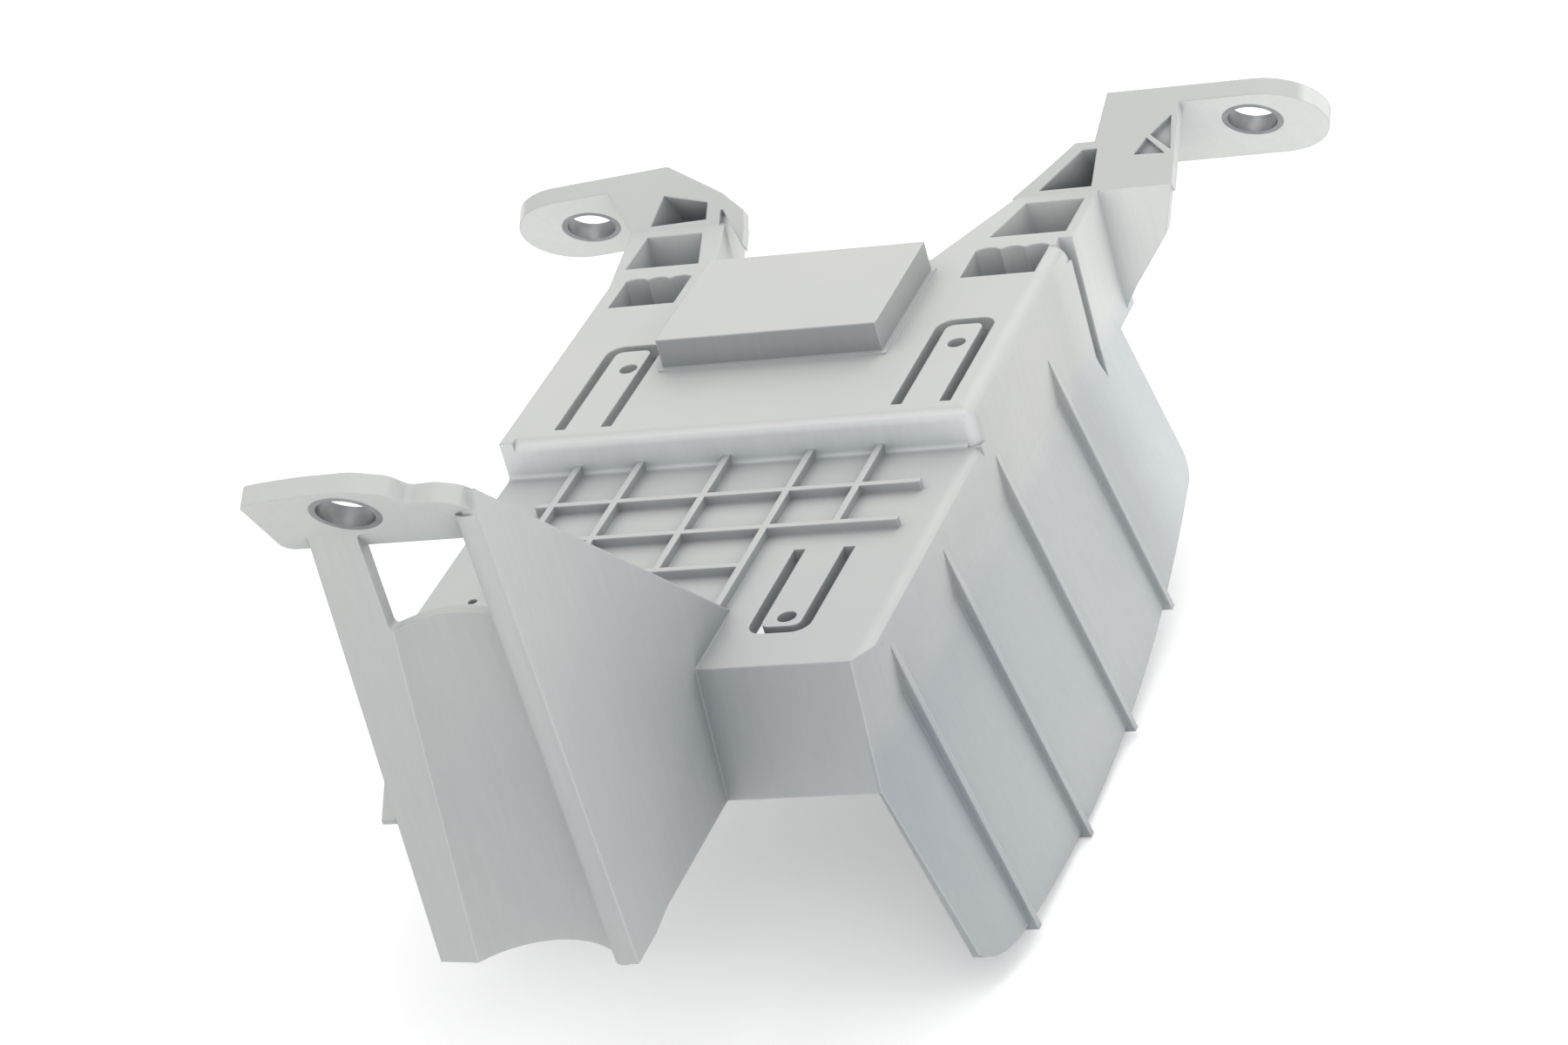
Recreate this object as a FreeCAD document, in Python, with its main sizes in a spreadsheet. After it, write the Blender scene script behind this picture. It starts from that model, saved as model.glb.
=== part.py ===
import FreeCAD, Part
import math
import os
import Sketcher
from FreeCAD import Placement, Rotation, Vector

# Blind spot sensor bracket: one moulded plastic piece and three steel bushes.
# X runs across the sensor plate and Y runs back along it.
# Z is the plate's normal and points away from the sensor.
# The origin is the middle of the flat underside on which the sensor rests.

sizes = {
    "wall": 2.5,
    "plate_half_width": 42.6,
    "floor_front": 32.9,
    "floor_back": 32.9,
    "plateau_length": 55.7,
    "plateau_height": 9.4,
    "step_radius": 2.0,
    "shoulder_radius": 3.0,
    "skirt_depth": 20.3,
    "front_setback": 8.4,
    "front_inset": 2.0,
    "box_half_width": 20.1,
    "box_front": 22.3,
    "box_length": 28.8,
    "box_height": 5.8,
    "rib_width": 1.2,
    "rib_height": 1.7,
    "rib_pitch": 11.9,
    "tongue_width": 6.6,
    "tongue_gap": 2.0,
    "tongue_length": 26.8,
    "tongue_radius": 3.0,
    "pip_radius": 1.6,
    "drain_radius": 0.8,
    "leg_wall_face": 14.6,
    "leg_reach": 78.2,
    "leg_height": 60.0,
    "leg_drop": 0.9,
    "flange_depth": 56.5,
    "flange_bend": 10.2,
    "flange_slope": 0.23,
    "flange_overrun": 15.0,
    "flange_rib_width": 1.4,
    "tab_tilt": 55.0,
    "tab_thickness": 3.2,
    "tab_width": 21.0,
    "bolt_radius": 4.4,
    "bush_wall": 1.0,
    "bush_fit": 0.0,
    "arm_length": 21.3,
    "arm_depth": 24.4,
    "arm_step": 0.6,
    "head_depth": 12.0,
    "pocket_floor": 3.0,
    "groove_width": 2.8,
}

wall = sizes["wall"]
half = sizes["plate_half_width"]
front = -sizes["floor_front"]
step = sizes["floor_back"]
back = step + sizes["plateau_length"]
top = sizes["plateau_height"]
skirt = -sizes["skirt_depth"]
inner_front = front + sizes["front_setback"]
leg_face = sizes["leg_wall_face"]
leg_front = -sizes["leg_reach"]
leg_top = sizes["leg_height"]
leg_low = skirt - sizes["leg_drop"]
depth = -sizes["flange_depth"]
flange_back = back + sizes["flange_overrun"]
bend = back + sizes["arm_length"]
arm_bottom = top - sizes["arm_depth"]
arm_face = sizes["arm_step"]
tilt = sizes["tab_tilt"]
thick = sizes["tab_thickness"]

# Places on the plate, read from the front left
tongue_centres = (-28.4, 32.5)
pip_offsets = (1.1, 0.3)
rib_left_end = -32.2
cross_rib_ends = (36.3, 36.1, 13.0)
long_ribs = ((-29.3, 2), (-17.8, 2), (-2.1, 2), (13.0, 3), (25.3, 1))
flange_rib_places = (-21.1, 7.8, 38.1, 70.3)

os.makedirs("parts", exist_ok=True)
document = FreeCAD.newDocument("bracket")
sheet = document.addObject("Spreadsheet::Sheet", "dims")
for row, (alias, value) in enumerate(sizes.items(), start=1):
    sheet.set(f"A{row}", alias.replace("_", " "))
    sheet.set(f"B{row}", str(value))
    sheet.setAlias(f"B{row}", alias)
document.recompute()


def new_body(label):
    body = document.addObject("PartDesign::Body", label)
    body.Label = label
    return body


def sketch_on(body, label, role, place):
    """Sketch attached to an origin plane of the body and moved by place within it."""
    plane = next(item for item in body.Origin.OriginFeatures if item.Role == role)
    sketch = body.newObject("Sketcher::SketchObject", label)
    sketch.AttachmentSupport = [(plane, "")]
    sketch.MapMode = "FlatFace"
    sketch.AttachmentOffset = place
    return sketch


def flat(body, label, height, x=0.0, y=0.0):
    """Level sketch whose own origin stands at x, y."""
    return sketch_on(body, label, "XY_Plane", Placement(Vector(x, y, height), Rotation()))


def side(body, label, x):
    """Sketch across the x axis: y to the right, z up."""
    return sketch_on(body, label, "YZ_Plane", Placement(Vector(0, 0, x), Rotation()))


def across(body, label, y, x=0.0):
    """Sketch across the y axis: x to the right, z up."""
    return sketch_on(body, label, "XZ_Plane", Placement(Vector(x, 0, -y), Rotation()))


def head_face(body, label):
    """Sketch on the sloping upper face of the arm heads, upward from the bend."""
    place = Placement(Vector(0, bend, top), Rotation(Vector(1, 0, 0), 90 - tilt))
    return sketch_on(body, label, "XY_Plane", place)


def tab_plane(x, y, z, roll=0.0):
    """Placement of a tab's underside, with its own y going back from the tab's front edge."""
    turn = Rotation(Vector(1, 0, 0), -tilt).multiply(Rotation(Vector(0, 1, 0), roll))
    return Placement(Vector(x, y, z), turn)


def arm_tab_plane(x, rise, roll=0.0):
    """Placement of a tab that starts on the arm head's face, rise above the bend."""
    lean = math.radians(tilt)
    return tab_plane(x, bend + rise * math.sin(lean), top + rise * math.cos(lean), roll)


def outline(sketch, corners):
    """Closed outline through corners given as x, y and an optional radius."""
    nodes = []
    count = len(corners)
    for index, corner in enumerate(corners):
        here = Vector(corner[0], corner[1], 0)
        radius = corner[2] if len(corner) > 2 else 0
        if radius == 0:
            nodes.append((here, here, here))
            continue
        before = Vector(*corners[index - 1][:2], 0) - here
        after = Vector(*corners[(index + 1) % count][:2], 0) - here
        before.normalize()
        after.normalize()
        half_angle = before.getAngle(after) / 2
        reach = radius / math.tan(half_angle)
        middle = before + after
        middle.normalize()
        centre = here + middle * (radius / math.sin(half_angle))
        nodes.append((here + before * reach, centre - middle * radius, here + after * reach))
    for index, (start, crown, end) in enumerate(nodes):
        if start.distanceToPoint(end) > 1e-6:
            sketch.addGeometry(Part.Arc(start, crown, end), False)
        following = nodes[(index + 1) % count][0]
        if end.distanceToPoint(following) > 1e-6:
            sketch.addGeometry(Part.LineSegment(end, following), False)


def moved(corners, x, y=0.0):
    return [(corner[0] + x, corner[1] + y, *corner[2:]) for corner in corners]


def box_outline(sketch, x_low, x_high, y_low, y_high):
    outline(sketch, [(x_low, y_low), (x_high, y_low), (x_high, y_high), (x_low, y_high)])


def path_outline(sketch, *pieces):
    """Outline of pieces: two points make a line and three make an arc."""
    for piece in pieces:
        points = [Vector(x, y, 0) for x, y in piece]
        curve = Part.LineSegment(*points) if len(points) == 2 else Part.Arc(*points)
        sketch.addGeometry(curve, False)


def circle(sketch, x, y, radius, expression):
    index = sketch.addGeometry(Part.Circle(Vector(x, y, 0), Vector(0, 0, 1), radius), False)
    number = sketch.addConstraint(Sketcher.Constraint("Radius", index, radius))
    sketch.setExpression(f"Constraints[{number}]", expression)


def extrude(kind, body, sketch, length, flip, centred):
    feature = body.newObject(kind, sketch.Label + "_" + kind.split("::")[1].lower())
    feature.Profile = sketch
    feature.setExpression("Length", length)
    feature.Reversed = flip
    if centred:
        feature.Midplane = True
    document.recompute()
    return feature


def pad(body, sketch, length, flip=False, centred=False):
    return extrude("PartDesign::Pad", body, sketch, length, flip, centred)


def pocket(body, sketch, length, flip=False, centred=False):
    before = body.Shape.Volume
    feature = extrude("PartDesign::Pocket", body, sketch, length, flip, centred)
    if not body.Shape.Volume < before:
        raise RuntimeError(sketch.Label + " cuts nothing")
    return feature


def loft(body, label, sections):
    feature = body.newObject("PartDesign::AdditiveLoft", label)
    feature.Profile = sections[0]
    feature.Sections = sections[1:]
    feature.Ruled = True
    document.recompute()
    return feature


bracket = new_body("bracket")

# Lower floor, step and plateau
profile = side(bracket, "plate", -half)
outline(profile, [
    (inner_front, 0), (inner_front, wall), (step, wall, 0.8), (step, top, sizes["step_radius"]),
    (back, top), (back, top - wall), (step + wall, top - wall), (step + wall, 0),
])
pad(bracket, profile, "2 * dims.plate_half_width")

# Walls that box the sensor in
right_side = side(bracket, "right_side", half)
outline(right_side, [(step, 0), (step, top, sizes["step_radius"]), (back, top), (back, 0)])
pad(bracket, right_side, "dims.wall", flip=True)

inner_wall = across(bracket, "inner_front_wall", inner_front)
box_outline(inner_wall, -half, leg_face, skirt, wall)
pad(bracket, inner_wall, "dims.wall", flip=True)

gusset_front = inner_front - 16.7
gusset_low = skirt + 2.3
left_wall = side(bracket, "left_wall", -half)
outline(left_wall, [
    (inner_front, wall), (step, wall), (step, top), (back, top), (back, skirt), (inner_front, skirt),
    (gusset_front, gusset_low), (gusset_front, gusset_low + 0.8), (inner_front, -1.2),
])
pad(bracket, left_wall, "dims.wall")

rear_wall = across(bracket, "rear_wall", back)
box_outline(rear_wall, -half, half, arm_bottom, top)
pad(bracket, rear_wall, "dims.wall")


# Right wall: upright at the top, flared below, curving in at its front end
front_fall = 2.2
front_inset = sizes["front_inset"]
turn_length = 10.0
front_lean = 0.277


def right_wall_section(label, height):
    outer = half + max(0.0, -sizes["flange_bend"] - height) * sizes["flange_slope"]
    lean = front_lean * max(0.0, skirt - height)
    fall = front_fall * min(1.0, (wall - height) / (wall - skirt))
    inset = outer - (half - front_inset + lean)
    start_y = front - fall
    radius = (inset * inset + turn_length * turn_length) / (2 * inset)
    sweep = math.asin(turn_length / radius)
    inside = radius - wall

    def on_arc(distance, angle):
        return (outer - radius + distance * math.cos(angle),
                start_y + turn_length - distance * math.sin(angle))

    section = flat(bracket, label, height)
    path_outline(
        section,
        (on_arc(radius, sweep), on_arc(radius, sweep / 2), on_arc(radius, 0)),
        (on_arc(radius, 0), (outer, flange_back)),
        ((outer, flange_back), (outer - wall, flange_back)),
        ((outer - wall, flange_back), on_arc(inside, 0)),
        (on_arc(inside, 0), on_arc(inside, sweep / 2), on_arc(inside, sweep)),
        (on_arc(inside, sweep), on_arc(radius, sweep)),
    )
    return section


levels = (wall, -sizes["flange_bend"], skirt, depth)
loft(bracket, "right_wall", [right_wall_section(f"right_wall_{n}", z) for n, z in enumerate(levels)])

# Front right of the floor and the sloping wall under it
front_floor = flat(bracket, "front_floor", 0)
box_outline(front_floor, leg_face - wall, half - front_inset, front, inner_front + wall)
pad(bracket, front_floor, "dims.wall")
corner_floor = flat(bracket, "corner_floor", 0)
outline(corner_floor, [
    (half - front_inset - wall, front + 1.2), (half - front_inset - 0.6, front + 1.2), (half - 1.2, front + 6),
    (half - 1.2, step), (half - front_inset - wall, step),
])
pad(bracket, corner_floor, "dims.wall")

front_wall = side(bracket, "front_wall", leg_face - wall)
outline(front_wall, [
    (front, wall), (front + wall, wall), (front - front_fall + wall, skirt), (front - front_fall, skirt),
])
pad(bracket, front_wall, "dims.plate_half_width - dims.leg_wall_face + dims.wall - dims.front_inset")

# Curved lower edge of the flange
trim_reach = 20.0
edge_front = (front + 1.3, depth + 3.4)
edge_low = (front + 51.0, depth + 0.3)
edge_back = (flange_back - 4.5, depth + 12.2)
trim = side(bracket, "flange_trim", half + trim_reach)
path_outline(
    trim,
    ((front - 7, depth + 7.2), (front - 2.9, depth + 7.2)),
    ((front - 2.9, depth + 7.2), (front - 1.4, depth + 4.7), edge_front),
    (edge_front, edge_low, edge_back),
    (edge_back, (flange_back - 1.0, depth + 14.3), (flange_back, depth + 18.0)),
    ((flange_back, depth + 18.0), (flange_back + 6, depth + 18.0)),
    ((flange_back + 6, depth + 18.0), (flange_back + 6, depth - 4)),
    ((flange_back + 6, depth - 4), (front - 7, depth - 4)),
    ((front - 7, depth - 4), (front - 7, depth + 7.2)),
)
pocket(bracket, trim, f"{2 * trim_reach}")

# Stiffening ribs down the flange
rib_slope = 0.217
rib_overhang = 1.0
edge_arc = Part.Arc(*[Vector(y, z, 0) for y, z in (edge_front, edge_low, edge_back)]).toShape().Curve
for number, y in enumerate(flange_rib_places):
    sag = math.sqrt(edge_arc.Radius ** 2 - (y - edge_arc.Center.x) ** 2)
    low = edge_arc.Center.y - sag - rib_overhang
    crest = half - 0.2 + rib_slope * (-1 - low)
    rib = across(bracket, f"flange_rib_{number}", y)
    outline(rib, [(half - 1.2, -1), (half - 0.2, -1), (crest, low), (crest - 2.4, low), (half - 1.2, -14)])
    pad(bracket, rib, "dims.flange_rib_width", centred=True)

# Grid of low ribs on the floor
rib_half = sizes["rib_width"] / 2
rib_rows = [step - 13.1 - n * sizes["rib_pitch"] for n in range(3)]
grid = flat(bracket, "cross_ribs", wall)
for y, end in zip(rib_rows, cross_rib_ends):
    box_outline(grid, rib_left_end, end, y - rib_half, y + rib_half)
pad(bracket, grid, "dims.rib_height")
grid = flat(bracket, "long_ribs", wall)
for x, row in long_ribs:
    end = rib_rows[row] if row < 3 else rib_rows[2] - 13
    box_outline(grid, x - rib_half, x + rib_half, end - rib_half, step + 1)
pad(bracket, grid, "dims.rib_height")

# Leg wall that climbs from the floor to the front tab
leg_wall = side(bracket, "leg_wall", leg_face - wall)
outline(leg_wall, [
    (front + 18.9, 0.5), (front + 17.5, wall), (leg_front - 3.7, leg_top + 3.6), (leg_front - 4.8, leg_top + 0.5),
    (leg_front + 0.2, leg_low), (leg_front + 8, leg_low), (leg_front + 14, skirt), (inner_front + wall, skirt),
    (inner_front + wall, 0.5),
])
pad(bracket, leg_wall, "dims.wall")

# Shallow channel down the front of the leg
low_end = flat(bracket, "leg_low", leg_low, leg_face, leg_front)
path_outline(
    low_end,
    ((-34.0, 2.5), (-27.4, 1.9)),
    ((-27.4, 1.9), (-15.1, 7.4), (-4.4, 2.7)),
    ((-4.4, 2.7), (-2.0, 0.0), (0.0, 2.4)),
    ((0.0, 2.4), (0.0, 5.2)),
    ((0.0, 5.2), (-4.4, 5.2)),
    ((-4.4, 5.2), (-15.1, 9.9), (-27.4, 4.4)),
    ((-27.4, 4.4), (-31.5, 4.8)),
    ((-31.5, 4.8), (-31.5, 11.2)),
    ((-31.5, 11.2), (-34.0, 11.2)),
    ((-34.0, 11.2), (-34.0, 2.5)),
)
high_end = flat(bracket, "leg_high", leg_top, leg_face, leg_front)
path_outline(
    high_end,
    ((-29.6, -2.2), (-19.6, -2.2)),
    ((-19.6, -2.2), (-11.3, 1.4), (-4.2, -2.2)),
    ((-4.2, -2.2), (-1.9, -5.2), (0.0, -2.8)),
    ((0.0, -2.8), (0.0, 0.3)),
    ((0.0, 0.3), (-4.2, 0.3)),
    ((-4.2, 0.3), (-11.3, 3.9), (-19.6, 0.3)),
    ((-19.6, 0.3), (-27.1, 0.3)),
    ((-27.1, 0.3), (-27.1, 6.2)),
    ((-27.1, 6.2), (-29.6, 6.2)),
    ((-29.6, 6.2), (-29.6, -2.2)),
)
loft(bracket, "leg_channel", [low_end, high_end])

# The channel stops at the upper face of the front tab and has a window below it
front_tab_place = tab_plane(leg_face, leg_front - 3.7, leg_top - 0.9)
crop_place = front_tab_place.multiply(Placement(Vector(0, 0, thick), Rotation()))
crop_size = 30.0
crop = sketch_on(bracket, "leg_crop", "XY_Plane", crop_place)
box_outline(crop, -1.5 * crop_size, -wall, -4, crop_size)
pocket(bracket, crop, f"{crop_size}", flip=True)
window_behind = 10.0
window = across(bracket, "leg_window", leg_front + window_behind, leg_face)
outline(window, [
    (-22.1, leg_top - 20.4, 1), (-4.0, leg_top - 20.4, 1), (-4.0, leg_top - 3.4, 1), (-21.9, leg_top - 3.4, 1),
])
pocket(bracket, window, f"{2.5 * window_behind}", flip=True)

# Front tab
front_tab = sketch_on(bracket, "front_tab", "XY_Plane", front_tab_place)
outline(front_tab, [
    (-35.3, -8.3, 1.5), (-31.4, -9.2), (-25.2, -10.1, 6), (-16.7, -10.5, 6), (-11.4, -8.6, 3), (-9.6, -5.2, 1.5),
    (-5.4, -5.5, 3), (-1.9, -4.1, 3), (0, -0.1), (0, 6.8), (-35.3, 6.8, 2),
])
pad(bracket, front_tab, "dims.tab_thickness")

# Two arms behind the plateau
arm_length = sizes["arm_length"]
block_back = arm_length + 3.9
arms = flat(bracket, "arms", top)
outline(arms, moved([
    (-24.0, -10), (0, -10), (0, 0), (arm_face, 1.4), (arm_face, block_back), (-11.4, block_back),
    (-15.2, arm_length - 1.4), (-24.0, 0),
], half, back))
outline(arms, moved([
    (0, -10), (17.6, -10), (19.2, 0), (18.1, 7.6), (15.0, arm_length), (12.6, block_back), (-3.4, block_back),
    (-3.4, arm_length), (0, 0),
], -half, back))
pad(bracket, arms, "dims.arm_depth", flip=True)
heads = head_face(bracket, "arm_heads")
outline(heads, moved([
    (-14.4, -4), (-15.2, 0), (-9.6, 5.0), (-4.4, 9.9), (arm_face, 9.9), (arm_face, -4),
], half))
outline(heads, moved([(-2.8, -4), (-3.2, 0), (2.3, 13.0), (13.6, 6.7), (14.0, -4)], -half))
pad(bracket, heads, "dims.head_depth", flip=True)

# Webs that join the arms to their tabs, and a small horn on the left arm
tab_top = 19.4
lower_web = across(bracket, "lower_web", bend, half)
outline(lower_web, [
    (-2.0, top), (14.0, top), (11.0, -0.1), (2.6, -10.6), (0.5, arm_bottom + 0.9), (-2.0, arm_bottom + 0.9),
])
pad(bracket, lower_web, "dims.wall", flip=True)
webs = head_face(bracket, "webs")
outline(webs, moved([(-2.4, 0), (14.0, 0), (14.0, tab_top), (arm_face, tab_top)], half))
outline(webs, moved([(-3.4, 0), (-9.3, 8.8), (-9.3, 11.6), (2.3, 12.7), (2.6, 0)], -half))
outline(webs, moved([
    (8.3, 9.6), (13.6, 6.7), (18.2, 2.9), (18.8, -1), (18.9, -4.5), (14.2, 3.2), (10.6, 3.2),
], -half))
pad(bracket, webs, "dims.wall", flip=True)

# Tabs on the arms
tab_half = sizes["tab_width"] / 2


def arm_tab(label, place, root, centre):
    """Tab from root to a rounded end about centre, both along its own x."""
    way = 1 if centre > root else -1
    sketch = sketch_on(bracket, label, "XY_Plane", place)
    path_outline(
        sketch,
        ((root, 0), (centre, 0)),
        ((centre, 0), (centre + way * tab_half, tab_half), (centre, 2 * tab_half)),
        ((centre, 2 * tab_half), (root, 2 * tab_half)),
        ((root, 2 * tab_half), (root, 0)),
    )
    pad(bracket, sketch, "dims.tab_thickness")


right_tab_place = arm_tab_plane(half, tab_top - thick)
left_tab_place = arm_tab_plane(-half, 9.7, -5.4)
arm_tab("right_tab", right_tab_place, arm_face, 27.3)
arm_tab("left_tab", left_tab_place, 2.3, -20.3)

# Spring tongues: two in the plateau and one in the floor
gap = sizes["tongue_gap"]
tongue_half = sizes["tongue_width"] / 2
tongue_radius = sizes["tongue_radius"]


def tongue(sketch, x, root, tip, pip_x, pip_y):
    """Slot round a tongue that is free at its tip, with a pip hole near the tip."""
    way = 1 if tip > root else -1
    outer = tongue_half + gap
    outline(sketch, [
        (x - outer, root), (x - outer, tip, tongue_radius), (x + outer, tip, tongue_radius), (x + outer, root),
        (x + tongue_half, root), (x + tongue_half, tip - way * gap, 1.5),
        (x - tongue_half, tip - way * gap, 1.5), (x - tongue_half, root),
    ])
    circle(sketch, pip_x, pip_y, sizes["pip_radius"], "dims.pip_radius")


tongue_root = step + wall + 1.0
tongue_tip = tongue_root + sizes["tongue_length"] + gap
slots = flat(bracket, "plateau_tongues", top)
for x, offset in zip(tongue_centres, pip_offsets):
    tongue(slots, x, tongue_root, tongue_tip, x + offset, tongue_tip - 8.5)
pocket(bracket, slots, "dims.wall")
slots = flat(bracket, "floor_tongue", wall)
tongue(slots, 24.8, 2.6, 3.6 - sizes["tongue_length"], 25.2, 8.4 - sizes["tongue_length"])
circle(slots, -33.7, -7.6, sizes["drain_radius"], "dims.drain_radius")
pocket(bracket, slots, "dims.wall")

# Raised box on the plateau, hollow below, with a low ledge round its foot
box_half = sizes["box_half_width"]
box_front = step + sizes["box_front"]
box_back = box_front + sizes["box_length"]
ledge = 0.7
foot_ledge = flat(bracket, "box_ledge", top)
box_outline(foot_ledge, -box_half - ledge, box_half + ledge, box_front - ledge, box_back + ledge)
pad(bracket, foot_ledge, f"{ledge / 2}")
box = flat(bracket, "raised_box", top - wall)
box_outline(box, -box_half, box_half, box_front, box_back)
pad(bracket, box, "dims.box_height + dims.wall")
hollow = flat(bracket, "box_hollow", top - wall)
box_outline(hollow, wall - box_half, box_half - wall, box_front + wall, box_back - wall)
pocket(bracket, hollow, "dims.box_height", flip=True)

# Soft edges along the plate's right-hand side
groove_start = 1.4


def soft_edge(label, y, height, radius, length):
    """Rounded edge that runs forward from y at a height on the right-hand side."""
    bite = radius * (1 - math.sqrt(0.5))
    spandrel = across(bracket, label, y, half)
    path_outline(
        spandrel,
        ((0, height - radius), (-bite, height - bite), (-radius, height)),
        ((-radius, height), (-radius, height + 1)),
        ((-radius, height + 1), (1, height + 1)),
        ((1, height + 1), (1, height - radius)),
        ((1, height - radius), (0, height - radius)),
    )
    pocket(bracket, spandrel, length, flip=True)


corner_radius = 0.9 * wall
soft_edge("soft_shoulder", back + groove_start, top, sizes["shoulder_radius"],
          f"dims.plateau_length + {groove_start + 1}")
soft_edge("soft_floor_edge", step, wall, corner_radius, "dims.floor_front + dims.floor_back + 4")
corner_bite = corner_radius * (1 - math.sqrt(0.5))
corner = flat(bracket, "soft_step_corner", top, half, step)
path_outline(
    corner,
    ((0, corner_radius), (-corner_bite, corner_bite), (-corner_radius, 0)),
    ((-corner_radius, 0), (-corner_radius, -1)),
    ((-corner_radius, -1), (1, -1)),
    ((1, -1), (1, corner_radius)),
    ((1, corner_radius), (0, corner_radius)),
)
pocket(bracket, corner, "dims.plateau_height - dims.wall")

# Moulded pockets that keep the arms' walls thin
scallop_near = -8.0
scallop_far = 1.8
scallop_bulge = 0.9
scallop_count = 3


def scalloped(sketch, x_low, x_high):
    """Pocket outline whose far edge is a row of shallow arcs."""
    near = back + scallop_near
    far = back + scallop_far
    bay = (x_high - x_low) / scallop_count
    path_outline(
        sketch,
        ((x_high, far), (x_high, near)),
        ((x_high, near), (x_low, near)),
        ((x_low, near), (x_low, far)),
    )
    for n in range(scallop_count):
        start = x_low + n * bay
        path_outline(sketch, ((start, far), (start + bay / 2, far + scallop_bulge), (start + bay, far)))


deep = flat(bracket, "deep_pockets", top)
scalloped(deep, half - 16.4, half - 2.8)
scalloped(deep, 2.6 - half, 15.3 - half)
outline(deep, moved([(-15.3, 6.6), (-1.2, 6.6), (-1.2, 18.9), (-12.0, 18.9)], half, back))
outline(deep, moved([(0.6, 6.7), (14.9, 6.7), (11.4, 19.0), (0.6, 19.0)], -half, back))
pocket(bracket, deep, "dims.arm_depth - dims.pocket_floor")
far_pockets = head_face(bracket, "far_pockets")
outline(far_pockets, moved([(-10.4, 1.0), (-0.7, 1.0), (-0.3, 8.4), (-3.0, 8.4)], half))
outline(far_pockets, moved([(0.3, 1.0), (2.1, 7.1), (11.0, 5.0), (11.1, 1.5)], -half))
pocket(bracket, far_pockets, "dims.head_depth - dims.wall")
recesses = head_face(bracket, "web_recesses")
outline(recesses, moved([(8.7, 9.7), (6.6, 6.5), (12.3, 6.3)], half))
outline(recesses, moved([(12.9, 13.8), (9.3, 10.2), (13.3, 6.9)], half))
pocket(bracket, recesses, "dims.wall / 2")

# Upright groove between the right wall and the arm
groove_low = -17.2
groove_depth = 1.9
groove_clear = 3.0
groove_near = back + groove_start
groove_far = groove_near + sizes["groove_width"]
groove = side(bracket, "groove", half + groove_clear)
outline(groove, [
    (groove_near, top + 1), (groove_far, top + 1), (groove_far, groove_low + 4),
    (groove_near + 0.8, groove_low), (groove_near, groove_low + 3),
])
pocket(bracket, groove, f"{groove_clear + groove_depth}")

# Bolt holes and the steel bushes moulded into them
bush_radius = sizes["bolt_radius"] + sizes["bush_wall"]
hole_radius = "dims.bolt_radius + dims.bush_wall + dims.bush_fit"
bolts = (
    ("limiter_front", front_tab_place, -20.2, -3.6),
    ("limiter_right", right_tab_place, 24.8, 8.6),
    ("limiter_left", left_tab_place, -17.3, 10.6),
)
pieces = [bracket]
for label, place, x, y in bolts:
    hole = sketch_on(bracket, label + "_hole", "XY_Plane", place)
    circle(hole, x, y, bush_radius + sizes["bush_fit"], hole_radius)
    pocket(bracket, hole, "2 * dims.tab_thickness + 4", centred=True)
    body = new_body(label)
    ring = sketch_on(body, label + "_ring", "XY_Plane", place)
    circle(ring, x, y, bush_radius, "dims.bolt_radius + dims.bush_wall")
    circle(ring, x, y, sizes["bolt_radius"], "dims.bolt_radius")
    pad(body, ring, "dims.tab_thickness")
    pieces.append(body)

document.recompute()
for item in document.Objects:
    if {"Invalid", "Error"} & set(item.State):
        raise RuntimeError(item.Label + " failed")
for piece in pieces:
    shape = piece.Shape
    if shape.isNull() or not shape.isValid() or len(shape.Solids) != 1:
        raise RuntimeError(piece.Label + " is not one sound solid")
for piece in pieces:
    piece.Shape.exportStep("parts/" + piece.Label + ".step")
    bound = piece.Shape.BoundBox
    print(piece.Label, round(piece.Shape.Volume), [round(v, 1) for v in (
        bound.XMin, bound.YMin, bound.ZMin, bound.XMax, bound.YMax, bound.ZMax)])
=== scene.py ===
import bpy
from mathutils import Matrix, Vector


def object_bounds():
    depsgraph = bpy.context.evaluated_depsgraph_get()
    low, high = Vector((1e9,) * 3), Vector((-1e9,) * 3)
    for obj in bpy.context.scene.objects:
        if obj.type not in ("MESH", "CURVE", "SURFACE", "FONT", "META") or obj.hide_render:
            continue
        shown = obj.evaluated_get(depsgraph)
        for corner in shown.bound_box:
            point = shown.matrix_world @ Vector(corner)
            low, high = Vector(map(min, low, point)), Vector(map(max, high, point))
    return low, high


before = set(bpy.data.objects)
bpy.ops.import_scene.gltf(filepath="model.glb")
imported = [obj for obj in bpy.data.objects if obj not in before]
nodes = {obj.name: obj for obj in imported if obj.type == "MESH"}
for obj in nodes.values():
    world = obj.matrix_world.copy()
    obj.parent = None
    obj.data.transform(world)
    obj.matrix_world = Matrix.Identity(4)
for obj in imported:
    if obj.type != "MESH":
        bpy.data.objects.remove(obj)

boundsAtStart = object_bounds()
print("stage: frame loaded")

millimetre = 0.001
white = (1.0, 1.0, 1.0, 1.0)


# Small helpers for shader trees
def newMaterial(name):
    material = bpy.data.materials.new(name)
    material.use_nodes = True
    tree = material.node_tree
    tree.nodes.clear()
    output = tree.nodes.new("ShaderNodeOutputMaterial")
    shader = tree.nodes.new("ShaderNodeBsdfPrincipled")
    tree.links.new(shader.outputs["BSDF"], output.inputs["Surface"])
    return material, tree, shader


def addNode(tree, kind, **values):
    node = tree.nodes.new(kind)
    for key, value in values.items():
        if key in node.inputs:
            node.inputs[key].default_value = value
        else:
            setattr(node, key, value)
    return node


def feed(tree, socket, value):
    if isinstance(value, bpy.types.NodeSocket):
        tree.links.new(value, socket)
    else:
        socket.default_value = value


def noise(tree, vector, scale, detail, roughness=0.5):
    node = addNode(tree, "ShaderNodeTexNoise", Scale=scale, Detail=detail, Roughness=roughness)
    tree.links.new(vector, node.inputs["Vector"])
    return node.outputs["Fac"]


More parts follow.
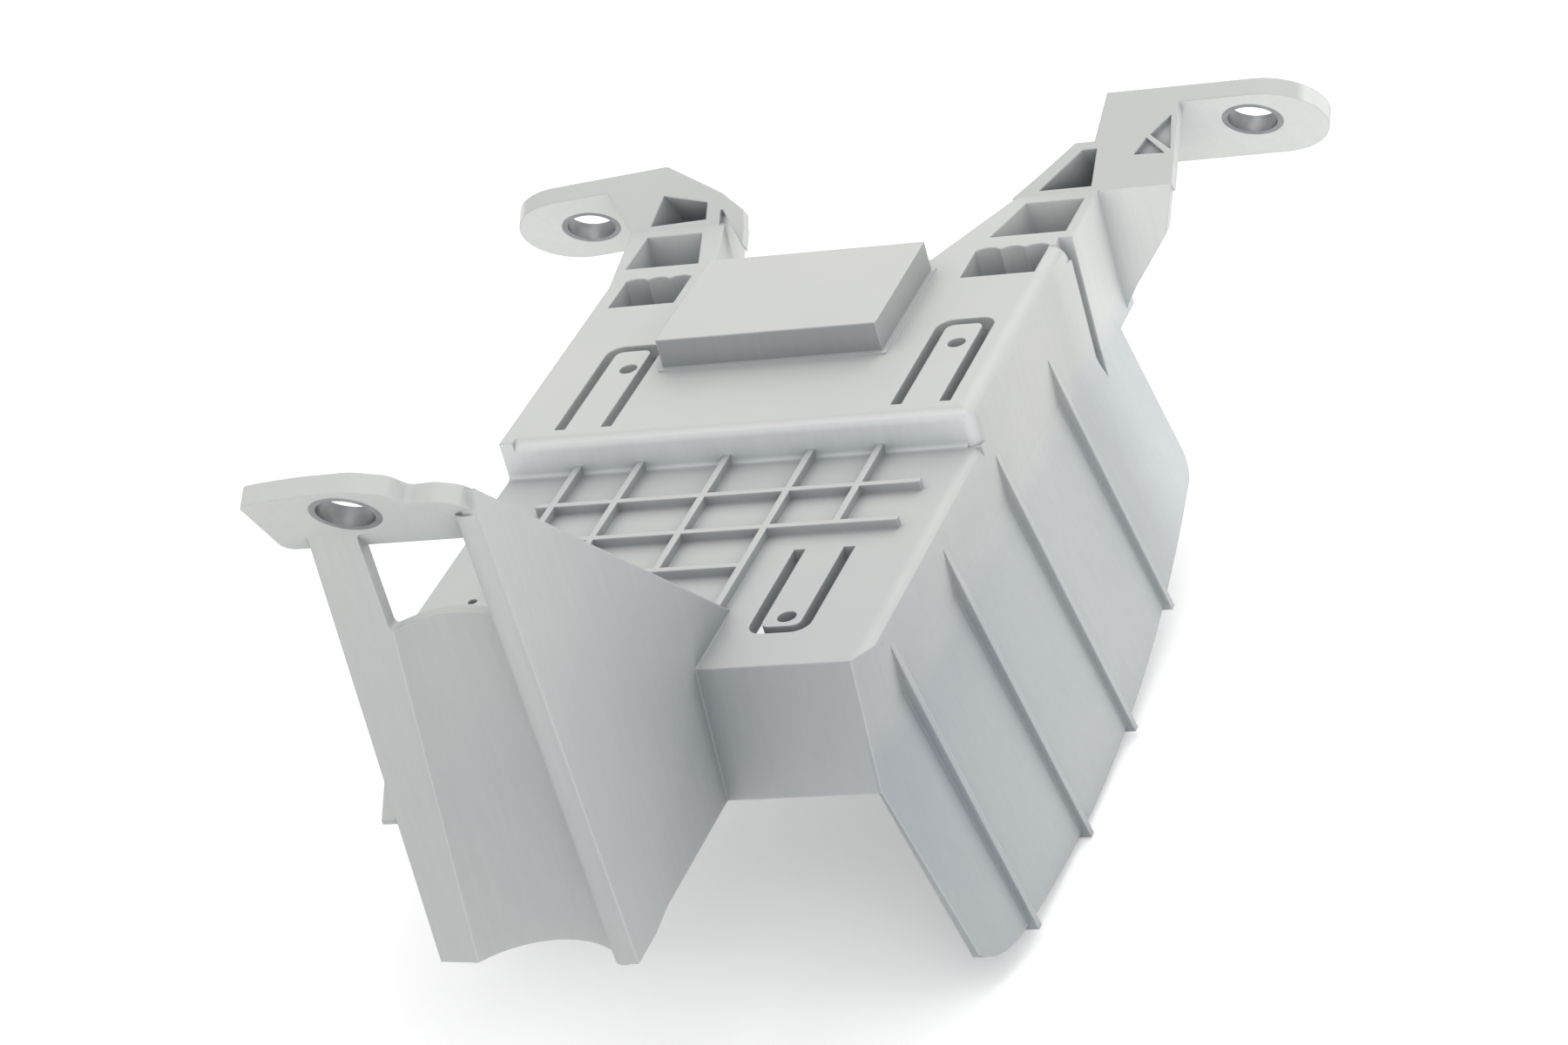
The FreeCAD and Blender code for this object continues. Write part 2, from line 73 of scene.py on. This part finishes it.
def ramp(tree, value, low, high, fromLow=0.3, fromHigh=0.7):
    node = addNode(tree, "ShaderNodeMapRange")
    node.inputs["From Min"].default_value = fromLow
    node.inputs["From Max"].default_value = fromHigh
    node.inputs["To Min"].default_value = low
    node.inputs["To Max"].default_value = high
    tree.links.new(value, node.inputs["Value"])
    return node.outputs["Result"]


def rising(tree, value, start, end):
    return ramp(tree, value, 0.0, 1.0, start, end)


def falling(tree, value, start, end):
    return ramp(tree, value, 1.0, 0.0, start, end)


def combine(tree, operation, first, second):
    node = addNode(tree, "ShaderNodeMath", operation=operation)
    feed(tree, node.inputs[0], first)
    feed(tree, node.inputs[1], second)
    return node.outputs[0]


def multiply(tree, *values):
    result = values[0]
    for value in values[1:]:
        result = combine(tree, "MULTIPLY", result, value)
    return result


def between(tree, value, low, high, soft):
    rise = rising(tree, value, low - soft, low + soft)
    fall = falling(tree, value, high - soft, high + soft)
    return multiply(tree, rise, fall)


def vectorMath(tree, operation, first, second, output="Value"):
    node = addNode(tree, "ShaderNodeVectorMath", operation=operation)
    feed(tree, node.inputs[0], first)
    feed(tree, node.inputs[1], second)
    return node.outputs[output]


def splitVector(tree, vector):
    node = addNode(tree, "ShaderNodeSeparateXYZ")
    tree.links.new(vector, node.inputs[0])
    return node.outputs


def mixColour(tree, factor, first, second, mode="MIX"):
    node = addNode(tree, "ShaderNodeMix", data_type="RGBA", blend_type=mode)
    feed(tree, node.inputs[0], factor)
    feed(tree, node.inputs[6], first)
    feed(tree, node.inputs[7], second)
    return node.outputs[2]


def tint(tree, colour, factor, tone):
    return mixColour(tree, factor, colour, mixColour(tree, 1.0, colour, tone, "MULTIPLY"))


def openness(tree, reach, low, fromLow, fromHigh):
    node = addNode(tree, "ShaderNodeAmbientOcclusion", samples=6, Distance=reach)
    return ramp(tree, node.outputs["AO"], low, 1.0, fromLow, fromHigh)


def seenRays(tree):  # one for rays that show a surface to the eye, by glass and metal too
    path = tree.nodes.new("ShaderNodeLightPath")
    seen = combine(tree, "MAXIMUM", path.outputs["Is Camera Ray"], path.outputs["Is Glossy Ray"])
    return combine(tree, "MAXIMUM", seen, path.outputs["Is Transmission Ray"])


def bumpAndBevel(tree, shader, height, bevel, strength, depth):
    bump = addNode(tree, "ShaderNodeBump", Strength=strength, Distance=depth)
    tree.links.new(height, bump.inputs["Height"])
    tree.links.new(bevel.outputs["Normal"], bump.inputs["Normal"])
    tree.links.new(bump.outputs["Normal"], shader.inputs["Normal"])


# Moulded plastic of the bracket
plastic = {
    "colour": (0.60, 0.607, 0.585, 1.0),
    "flow": (0.565, 0.577, 0.567, 1.0),
    "flowScale": 26.0,
    "flowDetail": 3.0,
    "roughness": (0.42, 0.54),
    "roughnessScale": 90.0,
    "roughnessDetail": 3.0,
    "specular": 0.45,
    "grainScale": 2600.0,
    "grainDetail": 2.0,
    "grainRoughness": 0.6,
    "grainStrength": 0.25,
    "grainDepth": 0.02 * millimetre,
    "drag": (0.965, 1.0),  # darkest and palest drag mark
    "dragScale": (900.0, 900.0, 45.0),  # long along Z, the way the mould opens
    "dragDetail": 2.0,
    # painted highlight: convex edges are painted paler, as if catching light
    "edge": (0.82, 0.84, 0.85, 1.0),
    "edgeRadius": 0.55 * millimetre,
    "edgeHighlightShare": 0.7,
    "edgeHighlightTurn": (0.8, 0.99),
    # painted shade: hollows, creases and recesses are darkened through ambient occlusion
    "hollow": (0.48, 0.505, 0.535, 1.0),
    "nearHollowShade": (5.0 * millimetre, 0.15, 0.25, 0.9),  # reach, darkest, closed, open
    "farHollowShade": (20.0 * millimetre, 0.2, 0.05, 0.78),
}

# Light and shade painted into the plastic's colour, placed in the frame's own directions
paintedShading = {
    "soft": 0.05 * millimetre,
    "upright": (0.5, 0.6),
    "lying": (0.5, 0.95),
    # painted shade: the flared wall below the right side is painted darker and bluer
    "flare": (0.87, 0.90, 0.94, 1.0),
    "flareX": 40.0 * millimetre,
    "flareZ": (-15.0 * millimetre, -9.0 * millimetre),
    # painted shade in the corner between the leg web and the front wall
    "corner": (0.64, 0.665, 0.705, 1.0),
    "cornerPlace": (14.6 * millimetre, -38.0 * millimetre, -6.0 * millimetre),
    "cornerReach": (6.0 * millimetre, 96.0 * millimetre),
    # painted shade on the raised box's front and right sides
    "boxFront": (0.62, 0.64, 0.655, 1.0),
    "boxRight": (0.80, 0.81, 0.82, 1.0),
    "boxX": (-20.6 * millimetre, 20.6 * millimetre),
    "boxY": (54.6 * millimetre, 84.6 * millimetre),
    "boxZ": (9.85 * millimetre, 15.1 * millimetre),
    # painted light: the front-facing step riser is lifted paler
    "step": (1.46, 1.47, 1.49, 1.0),
    "stepFacing": (-1.0, -0.4),
    "stepY": (31.5 * millimetre, 36.5 * millimetre),
    "stepZ": (2.3 * millimetre, 10.0 * millimetre),
    # painted shade on the lying faces of the lower floor between the ribs
    "floor": (0.905, 0.915, 0.92, 1.0),
    "floorZ": (3.2 * millimetre, 8.4 * millimetre),
    # painted light: the arms' upright faces are lifted paler
    "arms": (1.38, 1.38, 1.38, 1.0),
    "armsFacing": (-0.05, 0.3),
    "armsY": (80.0 * millimetre, 96.0 * millimetre),
}


# painted shade on the flare
def paintFlareShade(tree, colour, x, z):
    edge = paintedShading["flareX"]
    beside = rising(tree, x, edge - paintedShading["soft"], edge + paintedShading["soft"])
    onFlare = multiply(tree, beside, falling(tree, z, *paintedShading["flareZ"]))
    return tint(tree, colour, onFlare, paintedShading["flare"])


# painted shade on the box's sides, darker on the front than on the right
def paintBoxSideShade(tree, colour, x, y, z, normalX):
    places = ((x, "boxX"), (y, "boxY"), (z, "boxZ"))
    onBox = multiply(tree, *(between(tree, value, *paintedShading[key], paintedShading["soft"]) for value, key in places))
    sideShade = mixColour(tree, rising(tree, normalX, 0.3, 0.7), paintedShading["boxFront"], paintedShading["boxRight"])
    return tint(tree, colour, onBox, sideShade)


# painted shade, stronger nearer the corner
def paintCornerShade(tree, colour, place, upright):
    distance = vectorMath(tree, "DISTANCE", place, paintedShading["cornerPlace"])
    nearCorner = falling(tree, distance, *paintedShading["cornerReach"])
    return tint(tree, colour, multiply(tree, upright, nearCorner), paintedShading["corner"])


# painted light on the step's riser
def paintStepLight(tree, colour, y, z, normalY):
    facing = falling(tree, normalY, *paintedShading["stepFacing"])
    alongY = between(tree, y, *paintedShading["stepY"], paintedShading["soft"])
    alongZ = between(tree, z, *paintedShading["stepZ"], paintedShading["soft"])
    return tint(tree, colour, multiply(tree, facing, alongY, alongZ), paintedShading["step"])


# painted shade on the lower floor's lying faces
def paintFloorShade(tree, colour, z, normalZ):
    lying = rising(tree, normalZ, *paintedShading["lying"])
    onFloor = falling(tree, z, *paintedShading["floorZ"])
    return tint(tree, colour, multiply(tree, lying, onFloor), paintedShading["floor"])


# painted light on the arms' upright faces
def paintArmsLight(tree, colour, y, normalY, upright):
    onArms = rising(tree, y, *paintedShading["armsY"])
    facing = falling(tree, normalY, *paintedShading["armsFacing"])
    return tint(tree, colour, multiply(tree, upright, onArms, facing), paintedShading["arms"])


def plasticColourWithPaintedShading(tree, place, normal):
    x, y, z = splitVector(tree, place)
    normalX, normalY, normalZ = splitVector(tree, normal)
    upright = falling(tree, normalZ, *paintedShading["upright"])

    flow = noise(tree, place, plastic["flowScale"], plastic["flowDetail"])
    colour = mixColour(tree, rising(tree, flow, 0.3, 0.7), plastic["colour"], plastic["flow"])
    # painted light and shade follow: flare, box sides, corner, step, lower floor and arms
    colour = paintFlareShade(tree, colour, x, z)
    colour = paintBoxSideShade(tree, colour, x, y, z, normalX)
    colour = paintCornerShade(tree, colour, place, upright)
    colour = paintStepLight(tree, colour, y, z, normalY)
    colour = paintFloorShade(tree, colour, z, normalZ)
    colour = paintArmsLight(tree, colour, y, normalY, upright)

    stretched = vectorMath(tree, "MULTIPLY", place, plastic["dragScale"], "Vector")
    streaks = ramp(tree, noise(tree, stretched, 1.0, plastic["dragDetail"]), *plastic["drag"])
    return mixColour(tree, upright, colour, mixColour(tree, 1.0, colour, streaks, "MULTIPLY"))


def makePlastic():
    material, tree, shader = newMaterial("mouldedPlastic")
    coordinates = addNode(tree, "ShaderNodeTexCoord")
    place = coordinates.outputs["Object"]
    colour = plasticColourWithPaintedShading(tree, place, coordinates.outputs["Normal"])

    # painted shade in hollows, from ambient occlusion near and far
    near = openness(tree, *plastic["nearHollowShade"])
    far = openness(tree, *plastic["farHollowShade"])
    shaded = mixColour(tree, 1.0, colour, plastic["hollow"], "MULTIPLY")
    colour = mixColour(tree, multiply(tree, near, far), shaded, colour)

    # painted highlight: where the bevel normal turns at convex edges the colour is painted paler
    bevel = addNode(tree, "ShaderNodeBevel", samples=6, Radius=plastic["edgeRadius"])
    surface = addNode(tree, "ShaderNodeNewGeometry").outputs["Normal"]
    agreement = vectorMath(tree, "DOT_PRODUCT", bevel.outputs["Normal"], surface)
    edge = ramp(tree, agreement, plastic["edgeHighlightShare"], 0.0, *plastic["edgeHighlightTurn"])
    colour = mixColour(tree, multiply(tree, edge, near, near), colour, plastic["edge"])
    tree.links.new(colour, shader.inputs["Base Color"])

    grain = noise(tree, place, plastic["grainScale"], plastic["grainDetail"], plastic["grainRoughness"])
    bumpAndBevel(tree, shader, grain, bevel, plastic["grainStrength"], plastic["grainDepth"])
    patches = noise(tree, place, plastic["roughnessScale"], plastic["roughnessDetail"])
    tree.links.new(ramp(tree, patches, *plastic["roughness"]), shader.inputs["Roughness"])
    shader.inputs["Specular IOR Level"].default_value = plastic["specular"]
    return material


# Turned steel of the bushes, marked square to each bush's own axis
steel = {
    "colour": (0.30, 0.31, 0.325, 1.0),
    "dull": (0.22, 0.225, 0.235, 1.0),
    "wearScale": 400.0,
    "wearDetail": 3.0,
    "roughness": (0.34, 0.5),
    "lineScale": 9000.0,
    "lineDetail": 2.0,
    "lineStrength": 0.3,
    "lineDepth": 0.008 * millimetre,
    "edgeRadius": 0.15 * millimetre,
}
bushAxes = {
    "limiter_front": (0.0, 0.8192, 0.5736),
    "limiter_right": (0.0, 0.8192, 0.5736),
    "limiter_left": (-0.0941, 0.8155, 0.571),
}


def makeSteel(name, axis):
    material, tree, shader = newMaterial(name)
    place = addNode(tree, "ShaderNodeTexCoord").outputs["Object"]
    wear = rising(tree, noise(tree, place, steel["wearScale"], steel["wearDetail"]), 0.3, 0.7)
    tree.links.new(mixColour(tree, wear, steel["colour"], steel["dull"]), shader.inputs["Base Color"])

    lines = addNode(tree, "ShaderNodeTexNoise", noise_dimensions="1D")
    lines.inputs["Scale"].default_value = steel["lineScale"]
    lines.inputs["Detail"].default_value = steel["lineDetail"]
    tree.links.new(vectorMath(tree, "DOT_PRODUCT", place, axis), lines.inputs["W"])
    marks = lines.outputs["Fac"]
    bevel = addNode(tree, "ShaderNodeBevel", samples=4, Radius=steel["edgeRadius"])
    bumpAndBevel(tree, shader, marks, bevel, steel["lineStrength"], steel["lineDepth"])
    tree.links.new(ramp(tree, marks, *steel["roughness"]), shader.inputs["Roughness"])
    shader.inputs["Metallic"].default_value = 1.0
    return material


def dress(name, material):
    node = nodes[name]
    node.data.materials.clear()
    node.data.materials.append(material)


dress("bracket", makePlastic())
for name, axis in bushAxes.items():
    dress(name, makeSteel(name + "Steel", axis))
print("stage: materials")

# Pale floor just under the lowest point, clear when seen from below
floorSettings = {
    "reach": 5.0,
    "drop": 0.4 * millimetre,
    "colour": (0.94, 0.94, 0.94, 1.0),
    "roughness": 0.9,
    "specular": 0.1,
    "glow": 0.22,
}


def makeFloorMaterial():
    material, tree, shader = newMaterial("paleFloor")
    surface = shader.outputs["BSDF"].links[0].to_socket
    shader.inputs["Base Color"].default_value = floorSettings["colour"]
    shader.inputs["Roughness"].default_value = floorSettings["roughness"]
    shader.inputs["Specular IOR Level"].default_value = floorSettings["specular"]
    shader.inputs["Emission Color"].default_value = white
    glow = multiply(tree, seenRays(tree), floorSettings["glow"])
    tree.links.new(glow, shader.inputs["Emission Strength"])
    clear = addNode(tree, "ShaderNodeBsdfTransparent")
    mix = addNode(tree, "ShaderNodeMixShader")
    tree.links.new(addNode(tree, "ShaderNodeNewGeometry").outputs["Backfacing"], mix.inputs[0])
    tree.links.new(shader.outputs["BSDF"], mix.inputs[1])
    tree.links.new(clear.outputs["BSDF"], mix.inputs[2])
    tree.links.new(mix.outputs[0], surface)
    return material


def makeFloor():
    low = boundsAtStart[0][2] - floorSettings["drop"]
    reach = floorSettings["reach"]
    corners = [(-reach, -reach, low), (reach, -reach, low), (reach, reach, low), (-reach, reach, low)]
    mesh = bpy.data.meshes.new("floor")
    mesh.from_pydata(corners, [], [(0, 1, 2, 3)])
    mesh.materials.append(makeFloorMaterial())
    floor = bpy.data.objects.new("floor", mesh)
    bpy.context.scene.collection.objects.link(floor)


makeFloor()
print("stage: floor")

# Soft studio lamps round the part's middle: above, behind and in front
lights = (
    {"name": "overhead", "toward": (0.1, 0.1, 0.98), "distance": 1.3, "size": 0.9, "power": 2.2},
    {"name": "behind", "toward": (0.2, 0.8, 0.56), "distance": 1.3, "size": 0.7, "power": 3.0},
    {"name": "front", "toward": (0.5, -0.75, 0.45), "distance": 1.3, "size": 0.9, "power": 2.6},
)
centre = (Vector(boundsAtStart[0]) + Vector(boundsAtStart[1])) / 2


def makeLight(name, toward, distance, size, power):
    data = bpy.data.lights.new(name, "AREA")
    data.shape = "DISK"
    data.size = size
    data.energy = power
    lamp = bpy.data.objects.new(name, data)
    bpy.context.scene.collection.objects.link(lamp)
    direction = Vector(toward).normalized()
    lamp.location = centre + direction * distance
    lamp.rotation_euler = direction.to_track_quat("Z", "Y").to_euler()


for light in lights:
    makeLight(**light)

# Even surroundings: white to the eye, softer as a light
worldSettings = {"seen": 1.0, "lit": 0.80}


def makeWorld():
    world = bpy.data.worlds.new("surroundings")
    bpy.context.scene.world = world
    world.use_nodes = True
    tree = world.node_tree
    tree.nodes.clear()
    output = tree.nodes.new("ShaderNodeOutputWorld")
    lit = addNode(tree, "ShaderNodeBackground", Color=white, Strength=worldSettings["lit"])
    seen = addNode(tree, "ShaderNodeBackground", Color=white, Strength=worldSettings["seen"])
    mix = tree.nodes.new("ShaderNodeMixShader")
    tree.links.new(seenRays(tree), mix.inputs[0])
    tree.links.new(lit.outputs[0], mix.inputs[1])
    tree.links.new(seen.outputs[0], mix.inputs[2])
    tree.links.new(mix.outputs[0], output.inputs["Surface"])


makeWorld()
print("stage: light")

# Camera at the photo's viewing angle, told by its own axes
cameraSettings = {
    "place": (0.34217, -0.66649, 0.38063),
    "right": (0.919321, 0.305756, -0.247713),
    "up": (0.062163, 0.508754, 0.858665),
    "lens": 120.0,
    "sensor": 36.0,
    "clip": (0.05, 20.0),
}


def makeCamera():
    right = Vector(cameraSettings["right"])
    up = Vector(cameraSettings["up"])
    data = bpy.data.cameras.new("camera")
    data.lens = cameraSettings["lens"]
    data.sensor_width = cameraSettings["sensor"]
    data.clip_start, data.clip_end = cameraSettings["clip"]
    camera = bpy.data.objects.new("camera", data)
    bpy.context.scene.collection.objects.link(camera)
    turn = Matrix((right, up, right.cross(up))).transposed().to_4x4()
    camera.matrix_world = Matrix.Translation(cameraSettings["place"]) @ turn
    bpy.context.scene.camera = camera


makeCamera()
bpy.context.scene.view_settings.view_transform = "Standard"
print("stage: camera")
